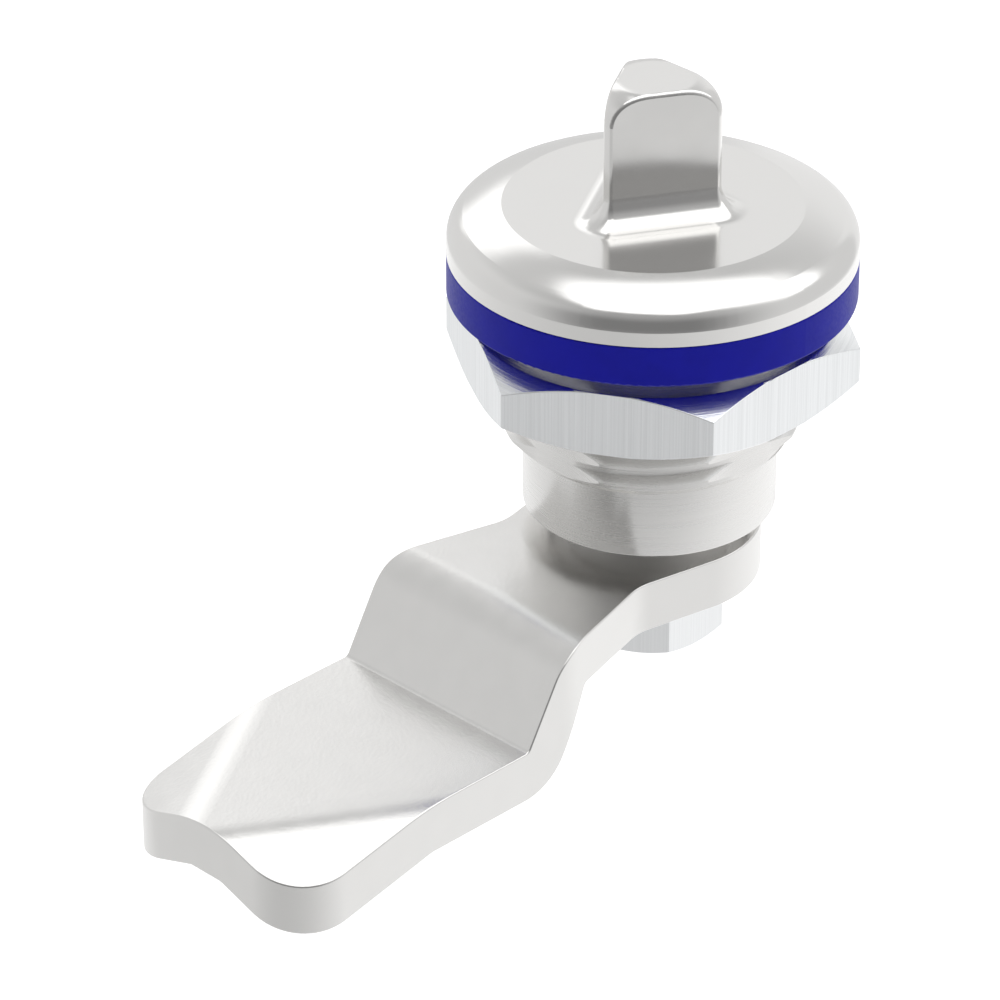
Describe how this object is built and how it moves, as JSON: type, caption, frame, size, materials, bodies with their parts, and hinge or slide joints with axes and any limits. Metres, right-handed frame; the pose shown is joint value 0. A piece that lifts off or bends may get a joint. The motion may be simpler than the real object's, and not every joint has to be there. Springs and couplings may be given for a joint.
{
  "type": "quarter-turn latch",
  "caption": "Flush quarter-turn latch with a triangular key drive, a ring seal, a clamping nut and a cranked latch arm.",
  "frame": {"origin": "on the spindle axis, in the front face of the panel that the latch clamps", "axes": "+Z out of the panel towards the person who turns the key; the arm points along -Y at rest"},
  "size_m": [0.03, 0.0606, 0.0488],
  "materials": {
    "polished_steel": "mirror polished stainless steel",
    "blue_seal": "smooth matte blue elastomer",
    "turned_steel": "fine turned stainless steel",
    "bush_plastic": "plain off-white bearing plastic",
    "seal_ring_rubber": "smooth blue elastomer",
    "washer_steel": "plain stainless steel",
    "spring_steel": "stainless spring steel",
    "stop_steel": "plain stainless steel",
    "nut_steel": "vertically brushed stainless steel",
    "arm_steel": "fine bead-blasted stainless steel",
    "screw_steel": "vertically brushed stainless steel"
  },
  "bodies": {
    "housing": {"housing": "turned_steel", "panel_seal": "blue_seal", "front_bush": "bush_plastic", "rear_bush": "bush_plastic", "hex_nut": "nut_steel"},
    "spindle": {"drive_spindle": "polished_steel", "front_seal_ring": "seal_ring_rubber", "rear_seal_ring": "seal_ring_rubber", "thrust_washer": "washer_steel", "disc_spring": "spring_steel", "snap_ring": "spring_steel", "stop_disc": "stop_steel", "latch_arm": "arm_steel", "lock_washer": "washer_steel", "arm_screw": "screw_steel"}
  },
  "joints": [
    {"name": "quarter_turn", "type": "hinge", "parent": "housing", "child": "spindle", "pos_m": [0, 0, 0], "axis": [0, 0, 1], "range_deg": [0, 90]}
  ]
}
